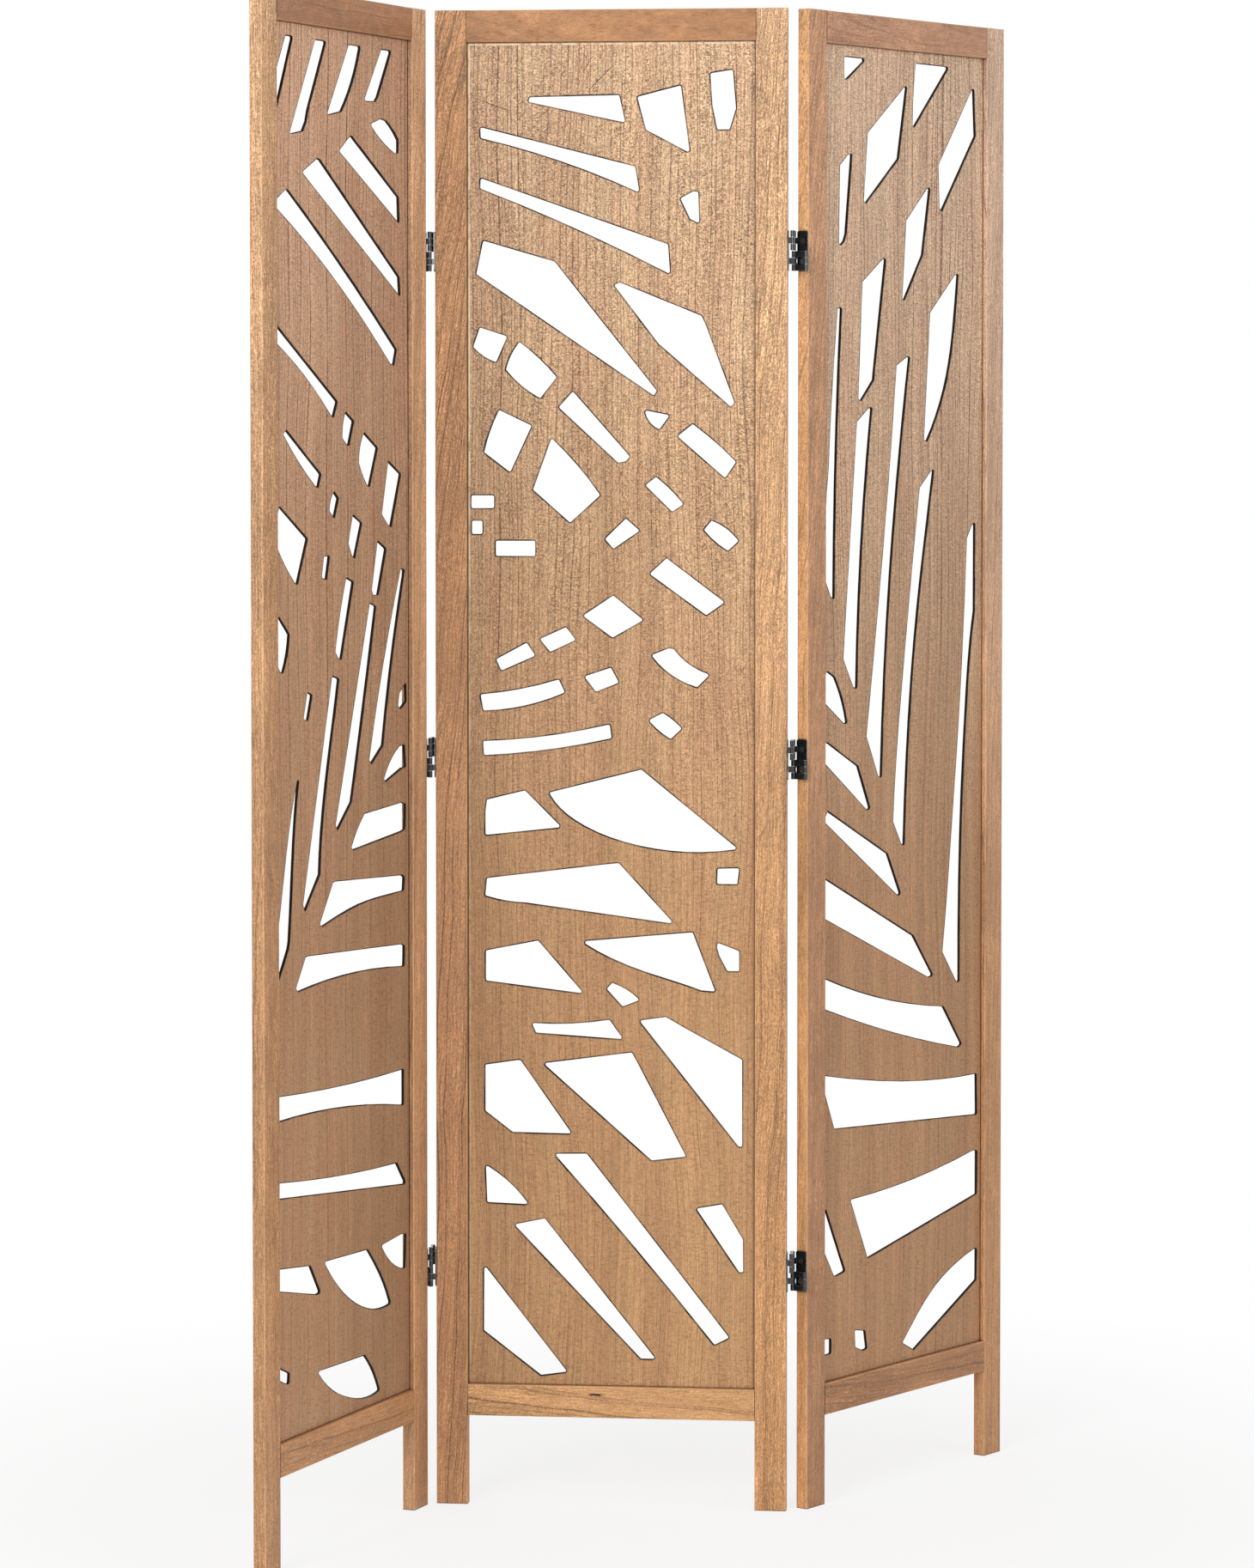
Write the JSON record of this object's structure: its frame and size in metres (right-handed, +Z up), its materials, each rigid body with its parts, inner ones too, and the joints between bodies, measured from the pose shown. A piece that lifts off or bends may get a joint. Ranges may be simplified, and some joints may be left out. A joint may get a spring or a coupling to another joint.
{
  "type": "folding screen",
  "caption": "Free-standing folding screen of hinged timber frames, each holding a thin wooden panel pierced with palm-leaf cut-outs.",
  "frame": {"origin": "on the floor, at the middle of the footprint of the screen as it stands in its zig-zag", "axes": "+Z up; +X along the centre panel, to the right as seen from its front; -Y out of the centre panel's front, where the left panel comes forward"},
  "size_m": [0.7736, 0.7488, 1.7],
  "materials": {
    "frame_timber": "light brown oiled timber, open grain",
    "panel_veneer": "matt veneer with upright grain and dark pores",
    "dowel_beech": "plain beech",
    "hinge_black": "black lacquered steel",
    "pin_steel": "bare steel",
    "screw_black": "blackened steel"
  },
  "bodies": {
    "centre_panel": {"centre_left_stile": "frame_timber", "centre_right_stile": "frame_timber", "centre_top_rail": "frame_timber", "centre_bottom_rail": "frame_timber", "centre_fretwork": "panel_veneer", "centre_dowels": "dowel_beech", "left_gap_centre_leaves": "hinge_black", "left_gap_centre_screws": "screw_black", "left_gap_upper_links": "hinge_black", "left_gap_upper_pins": "pin_steel", "right_gap_centre_leaves": "hinge_black", "right_gap_centre_screws": "screw_black", "right_gap_upper_links": "hinge_black", "right_gap_upper_pins": "pin_steel"},
    "left_panel": {"left_outer_stile": "frame_timber", "left_hinge_stile": "frame_timber", "left_top_rail": "frame_timber", "left_bottom_rail": "frame_timber", "left_fretwork": "panel_veneer", "left_dowels": "dowel_beech", "left_gap_side_leaves": "hinge_black", "left_gap_side_screws": "screw_black", "left_gap_lower_links": "hinge_black", "left_gap_lower_pins": "pin_steel"},
    "right_panel": {"right_hinge_stile": "frame_timber", "right_outer_stile": "frame_timber", "right_top_rail": "frame_timber", "right_bottom_rail": "frame_timber", "right_fretwork": "panel_veneer", "right_dowels": "dowel_beech", "right_gap_side_leaves": "hinge_black", "right_gap_side_screws": "screw_black", "right_gap_lower_links": "hinge_black", "right_gap_lower_pins": "pin_steel"}
  },
  "joints": [
    {"name": "left_fold", "type": "hinge", "parent": "centre_panel", "child": "left_panel", "pos_m": [-0.25046, 0.01233, 0], "axis": [0, 0, 1], "range_deg": [-72.6, 107.4]},
    {"name": "right_fold", "type": "hinge", "parent": "centre_panel", "child": "right_panel", "pos_m": [0.16154, 0.02933, 0], "axis": [0, 0, 1], "range_deg": [-58.5, 121.5]}
  ]
}
